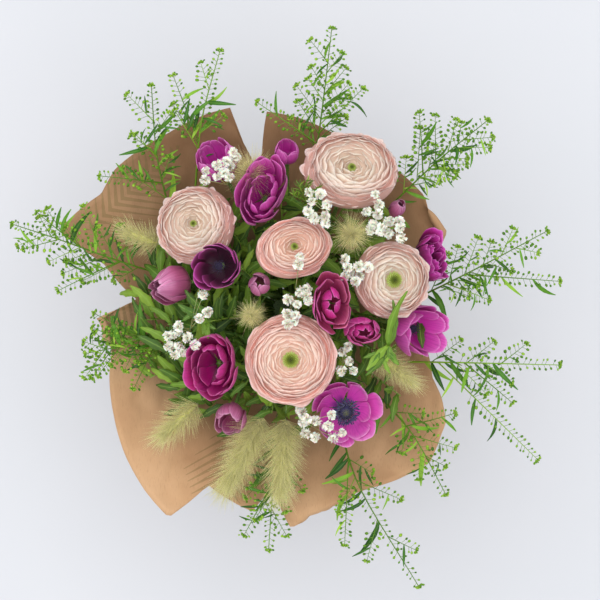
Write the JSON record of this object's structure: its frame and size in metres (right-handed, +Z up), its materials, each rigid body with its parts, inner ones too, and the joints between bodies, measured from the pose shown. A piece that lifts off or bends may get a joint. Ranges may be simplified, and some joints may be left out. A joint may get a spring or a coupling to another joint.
{
  "type": "mixed flower bouquet",
  "caption": "Hand-tied bouquet of ranunculus, anemones, gypsophila, grasses and leafy sprays in a flared kraft paper wrapper, standing on its spiralled cut stems.",
  "frame": {"origin": "middle of the bouquet in plan, at the level of the cut stem ends", "axes": "+Z up along the stems; in the top view of the picture +X points right and +Y points to the top of the picture"},
  "size_m": [0.413, 0.4233, 0.3478],
  "materials": {
    "kraft_paper": "matt brown kraft paper",
    "jute_twine": "natural jute twine",
    "flower_stem": "fresh green stems",
    "ranunculus_petal": "soft blush petals",
    "ranunculus_eye": "green carpels",
    "magenta_petal": "satin magenta petals",
    "purple_petal": "satin plum petals",
    "mauve_petal": "dusty mauve petals",
    "anemone_centre": "blue-black stamens",
    "gypsophila_floret": "white florets",
    "cut_leaf": "dark green leaves",
    "pepper_grass": "fresh green sprays",
    "grass_bristle": "golden green bristles"
  },
  "bodies": {
    "root": {"ranunculus_left_eye": "ranunculus_eye", "ranunculus_top_eye": "ranunculus_eye", "ranunculus_middle_eye": "ranunculus_eye", "ranunculus_right_eye": "ranunculus_eye", "ranunculus_front_eye": "ranunculus_eye", "anemone_open_centre": "anemone_centre", "anemone_cup_left_centre": "anemone_centre", "anemone_cup_right_centre": "anemone_centre", "ranunculus_left": "ranunculus_petal", "ranunculus_top": "ranunculus_petal", "ranunculus_middle": "ranunculus_petal", "ranunculus_right": "ranunculus_petal", "ranunculus_front": "ranunculus_petal", "anemone_open": "magenta_petal", "anemone_double": "magenta_petal", "anemone_cup_left": "magenta_petal", "anemone_cup_front": "magenta_petal", "anemone_cup_right": "purple_petal", "anemone_far_left": "mauve_petal", "anemone_far_top": "magenta_petal", "anemone_folded": "magenta_petal", "anemone_small_folded": "magenta_petal", "anemone_ruffled": "purple_petal", "anemone_bud": "mauve_petal", "anemone_behind_grass": "mauve_petal", "anemone_dusty": "mauve_petal", "anemone_top_small": "magenta_petal", "wrapper_paper": "kraft_paper", "stem_binding": "jute_twine", "neck_twine": "jute_twine", "stems": "flower_stem", "leaf_right": "cut_leaf", "leaf_left": "cut_leaf", "leaf_needled": "cut_leaf", "spray_left": "pepper_grass", "spray_left_low": "pepper_grass", "spray_far_left": "pepper_grass", "spray_top_left": "pepper_grass", "spray_top": "pepper_grass", "spray_top_right": "pepper_grass", "spray_right": "pepper_grass", "spray_right_low": "pepper_grass", "spray_front_right": "pepper_grass", "spray_front": "pepper_grass", "spray_front_left": "pepper_grass", "grass_top": "grass_bristle", "grass_middle_right": "grass_bristle", "grass_middle_left": "grass_bristle", "grass_plume_left": "grass_bristle", "grass_plume_right": "grass_bristle", "grass_front_left": "grass_bristle", "grass_right": "grass_bristle", "grass_far_left": "grass_bristle", "gypsophila_top_left": "gypsophila_floret", "gypsophila_top": "gypsophila_floret", "gypsophila_right": "gypsophila_floret", "gypsophila_middle": "gypsophila_floret", "gypsophila_left": "gypsophila_floret", "gypsophila_front": "gypsophila_floret", "gypsophila_middle_right": "gypsophila_floret"}
  },
  "joints": []
}
